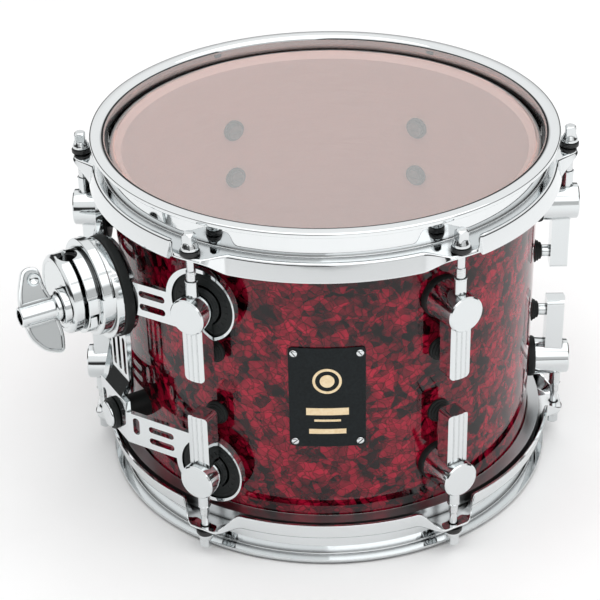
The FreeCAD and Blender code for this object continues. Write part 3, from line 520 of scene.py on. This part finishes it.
# bracket: bent plate, and the rubber discs held in its four rings
softened("mount_bracket", "bracket_pressing", 0.5)
disc = turned(eased([
    (12.4, 130.5, 0.2), (20.0, 130.5, 0.4), (20.0, 135.2, 0.8), (17.4, 135.9, 0.9), (16.9, 135.6, 0.3),
    (13.4, 135.6, 0.3), (13.0, 135.8, 0.3), (12.4, 135.8, 0.2)], 3), 72, closed=True)
dashes = [rotated(moved(rounded(block(2.2, 0.9, 0.6), 0.2), 15.2, 0, 135.6), angle, "Z")
          for angle in list(range(-50, 41, 15)) + [150, 165, 180]]
disc = outward(gathered([disc] + dashes), BOSS_Z)
finish(around(disc, [-30, 30]), "isolator_discs", rubber, "drum", ["mount_isolators"], MOUNT)
softened("bumper_ring", "bumper_ring_moulding", 0.8)
softened("bumper_bolt", "bumper_bolt_turning", 0.3)


def drilling(inner, outer):
    """Hole for the wing bolt's stem between two distances from the drum axis."""
    return outward(turned([(0, inner), (4.1, inner), (4.1, outer), (0, outer)], 32), JAW_Z, BOLT_SIDE)


def rod_bore():
    """Upright bore that the bushings line."""
    return moved(cylinder(5.95, 80, 48), 0, -BORE_OUT, JAW_Z)


# rod clamp: fixed half, ringed above its seam and smooth below, with a nut in a side pocket
flange = outward(turned(eased([
    (16.0, 147.0, 0.1), (29.4, 147.0, 0.6), (29.4, 151.9, 0.8), (16.0, 151.9, 0.1)]), 96,
    closed=True), CLAMP_Z)
gasket = outward(turned(eased([
    (18.0, 141.0, 0.1), (30.0, 141.0, 0.8), (30.0, 147.0, 1.6), (18.0, 147.0, 0.1)]), 96,
    closed=True), CLAMP_Z)
finish(gasket, "clamp_gasket", rubber, "drum", ["clamp_seal"], MOUNT)
hub = outward(turned([(0, 141.0), (17.8, 141.0), (17.8, 148.0), (0, 148.0)], 48), CLAMP_Z)
ringed = turned(eased([
    (0, 150.0, 0), (27.2, 150.0, 0.1), (27.2, 152.9, 0.1), (28.6, 152.9, 0.7), (28.6, 158.9, 0.9),
    (22.4, 158.9, 0.3), (22.4, 160.1, 0.3), (23.9, 160.1, 0.7), (23.9, 166.9, 0.9), (0, 166.9, 0)], 3), 96)
plain = turned(eased([
    (0, 150.0, 0), (28.6, 150.0, 0.1), (28.6, 159.6, 1.0), (25.2, 160.4, 0.4), (25.2, 166.9, 0.9),
    (0, 166.9, 0)], 3), 96)
upper = halved(outward(ringed, JAW_Z), SEAM_Z, True)
lower = halved(outward(plain, JAW_Z), SEAM_Z, False)
NUT_OUT = 163.7      # drum axis to the pocket and its nut
NUT_Z = 145.0
pocket = moved(block(12, 5.4, 12.5), 25.5, -NUT_OUT, NUT_Z)
casting = combined(combined(upper, lower, "UNION"), gathered([pocket, rod_bore(), drilling(152.8, 168.0)]))
nut = moved(rounded(block(5, 4.6, 7.0), 0.6), 20.2, -NUT_OUT, NUT_Z)
fixed_half = gathered([flange, hub, casting, nut])
finish(fixed_half, "clamp_fixed_half", cast_chrome, "drum", ["clamp_base"], MOUNT)

# loose half of the clamp
jaw = outward(turned(eased([
    (0, 168.6, 0), (23.3, 168.6, 0.6), (23.3, 174.2, 0.8), (21.5, 176.0, 0.5), (19.8, 176.0, 0.2),
    (19.4, 175.5, 0.2), (0, 175.5, 0)], 3), 96), JAW_Z)
jaw = combined(jaw, gathered([rod_bore(), drilling(166, 178)]))
finish(jaw, "clamp_loose_half", cast_chrome, "clamp_jaw", ["clamp_jaw"], MOUNT)

# wing bolt: tube with a flared collar, and two bordered wings, drawn as (out along the bolt, across it,
# size of the corner's curve)
UPPER_WING = eased([
    (22.6, 5, 0), (21.1, 13.5, 4.0), (15.8, 26.2, 4.4), (6.6, 25.4, 4.2), (5.4, 12.5, 3.2),
    (2.8, 5, 0)], 5)
LOWER_WING = eased([
    (2.2, -5, 0), (1.0, -15.0, 3.6), (3.0, -26.6, 4.6), (14.0, -22.4, 4.0), (20.6, -13.5, 4.0),
    (22.0, -5, 0)], 5)
WING_SECTION = [     # (in from the outline, height), from the back face to the front
    (2.1, -1.3), (1.7, -1.8), (0.7, -1.8), (0.2, -1.6), (0, -1.1),
    (0, 1.1), (0.2, 1.6), (0.7, 1.8), (1.7, 1.8), (2.1, 1.3)]
WING_FOOT = 180.0    # drum axis to where the wings' own measure starts
WING_TURN = -25


def inset(outline, depth):
    """Outline drawn in by a distance on its left-hand side."""
    points = [Vector(point) for point in outline]
    result = []
    for index, point in enumerate(points):
        ahead = (points[(index + 1) % len(points)] - point).normalized()
        behind = (point - points[index - 1]).normalized()
        left = Vector((-ahead.y - behind.y, ahead.x + behind.x)).normalized()
        result.append(point + left * depth / max(0.5, left.dot(Vector((-ahead.y, ahead.x)))))
    return result


def wing(outline):
    """Plate with rounded edges and a raised border round a sunk panel on both faces."""
    plate = bmesh.new()
    rows = [[plate.verts.new((x, y, height)) for x, y in inset(outline, depth)]
            for depth, height in WING_SECTION]
    count = len(outline)
    for low, high in zip(rows, rows[1:]):
        for index in range(count):
            after = (index + 1) % count
            plate.faces.new((low[index], low[after], high[after], high[index]))
    plate.faces.new(rows[0][::-1])
    plate.faces.new(rows[-1])
    return plate


dimple = bmesh.new()
bmesh.ops.create_uvsphere(dimple, u_segments=32, v_segments=20, radius=4.3)
moved(dimple, 10.8, 18.6, -3.2)
wings = combined(gathered([wing(UPPER_WING), wing(LOWER_WING)]), dimple)
along_bolt = Matrix(((0, 0, -1), (-1, 0, 0), (0, 1, 0)))
bmesh.ops.transform(wings, matrix=along_bolt.to_4x4(), verts=wings.verts)
moved(wings, 0, -WING_FOOT, 0)
tube = outward(turned(eased([
    (0, 154.3, 0), (3.95, 154.3, 0.4), (3.95, 176.05, 0.1), (10.4, 176.05, 0.2), (10.4, 180.1, 0.8),
    (8.8, 180.1, 0.4), (8.4, 178.8, 0.3), (7.6, 178.8, 0.3), (7.6, 182.6, 0.6), (5.8, 183.6, 0.8),
    (5.8, 203.5, 0.6), (4.3, 203.5, 0.3), (4.3, 194.5, 0.2), (0, 194.5, 0)], 3), 48), 0.0)
bolt = rotated(combined(tube, wings, "UNION"), WING_TURN, "Y")
moved(bolt, BOLT_SIDE, 0, JAW_Z)
finish(bolt, "wing_bolt_casting", cast_chrome, "wing_bolt", ["wing_bolt"], MOUNT)

# badge: curved plate, plain figures and four slotted screws
softened("badge_plate", "badge_pressing", 0.25)
BADGE_R = 127.4          # radius of the badge's face
SCREW_ACROSS = 18.4      # screws to the badge's middle line, across and up
SCREW_UP = 29.4
screws = []
for side in (-1, 1):
    for up, slot_turn in ((-SCREW_UP, 40), (SCREW_UP, 130)):
        head = turned([(0, 126.6), (2.3, 126.6), (2.3, 127.9), (2.0, 128.3), (1.2, 128.55), (0, 128.6)], 28)
        head = combined(head, moved(block(6, 0.55, 0.8), 0, 0, 128.5))
        lean = math.degrees(math.asin(side * SCREW_ACROSS / BADGE_R))
        screws.append(rotated(outward(rotated(head, slot_turn, "Z"), BADGE_Z + up), lean, "Z"))
finish(gathered(screws), "badge_screws", cast_chrome, "drum", ["badge_pins"])


# ---- floor, lights and camera ----
def floor():
    """Plain pale floor under the drum."""
    material, tree, shader, coords = start("matt_white_floor", {"Roughness": 0.85, "Specular IOR Level": 0.2})
    grain = add(tree, "ShaderNodeTexNoise", {"Vector": coords, "Scale": per_mm(60.0), "Detail": 3.0})
    shade = ramp(tree, grain.outputs[0], [(0.3, colour("#FCFCFC")), (0.7, colour("#FEFEFE"))])
    tree.links.new(shade, shader.inputs["Base Color"])
    sheet = bmesh.new()
    bmesh.ops.create_grid(sheet, x_segments=1, y_segments=1, size=8.0)
    mesh = bpy.data.meshes.new("floor")
    sheet.to_mesh(mesh)
    sheet.free()
    mesh.materials.append(material)
    ground = bpy.data.objects.new("floor", mesh)
    bpy.context.scene.collection.objects.link(ground)
    ground.location.z = -0.0005


def softbox(name, place, aim, size, power):
    """Rectangular soft light turned to face a point."""
    lamp = bpy.data.lights.new(name, "AREA")
    lamp.shape = "RECTANGLE"
    lamp.size, lamp.size_y = size
    lamp.energy = power
    box = bpy.data.objects.new(name, lamp)
    bpy.context.scene.collection.objects.link(box)
    box.location = place
    box.rotation_euler = (Vector(aim) - Vector(place)).to_track_quat("-Z", "Y").to_euler()


def camera():
    """Camera just above the drum's front edge, long lens, slight roll."""
    place = Vector((AXIS_X + 0.0034, -0.9592, 0.6712))
    aim = Vector((AXIS_X - 0.0167, 0.0, 0.0976))
    roll = math.radians(-1.289)
    ahead = (aim - place).normalized()
    right = ahead.cross(Vector((0, 0, 1))).normalized()
    up = right.cross(ahead)
    tilted_right = right * math.cos(roll) + up * math.sin(roll)
    tilted_up = up * math.cos(roll) - right * math.sin(roll)
    data = bpy.data.cameras.new("camera")
    data.lens = 107.65
    data.sensor_width = 36.0
    data.clip_start = 0.01
    eye = bpy.data.objects.new("camera", data)
    bpy.context.scene.collection.objects.link(eye)
    turn = Matrix((tilted_right, tilted_up, -ahead)).transposed().to_4x4()
    eye.matrix_world = Matrix.Translation(place) @ turn
    bpy.context.scene.camera = eye


def studio():
    """Surroundings: white overhead and dark low down, so that chrome edges draw dark lines."""
    world = bpy.data.worlds.new("studio")
    world.use_nodes = True
    tree = world.node_tree
    direction = add(tree, "ShaderNodeTexCoord").outputs["Generated"]
    height = add(tree, "ShaderNodeSeparateXYZ", {0: direction}).outputs["Z"]
    shade = ramp(tree, height, [
        (0.0, grey(0.35)), (0.03, grey(0.04)), (0.3, grey(0.03)), (0.42, grey(0.95)), (0.75, grey(1.0)),
        (1.0, grey(0.95))])
    tree.links.new(shade, tree.nodes["Background"].inputs["Color"])
    tree.nodes["Background"].inputs["Strength"].default_value = 1.05
    bpy.context.scene.world = world


floor()
softbox("overhead_softbox", (0.15, -0.15, 1.5), (0.0, 0.0, 0.1), (2.0, 1.6), 7.0)
softbox("front_softbox", (0.9, -1.5, 0.9), (0.0, 0.0, 0.1), (2.0, 1.6), 6.0)
studio()
bpy.context.scene.view_settings.view_transform = "Standard"
camera()
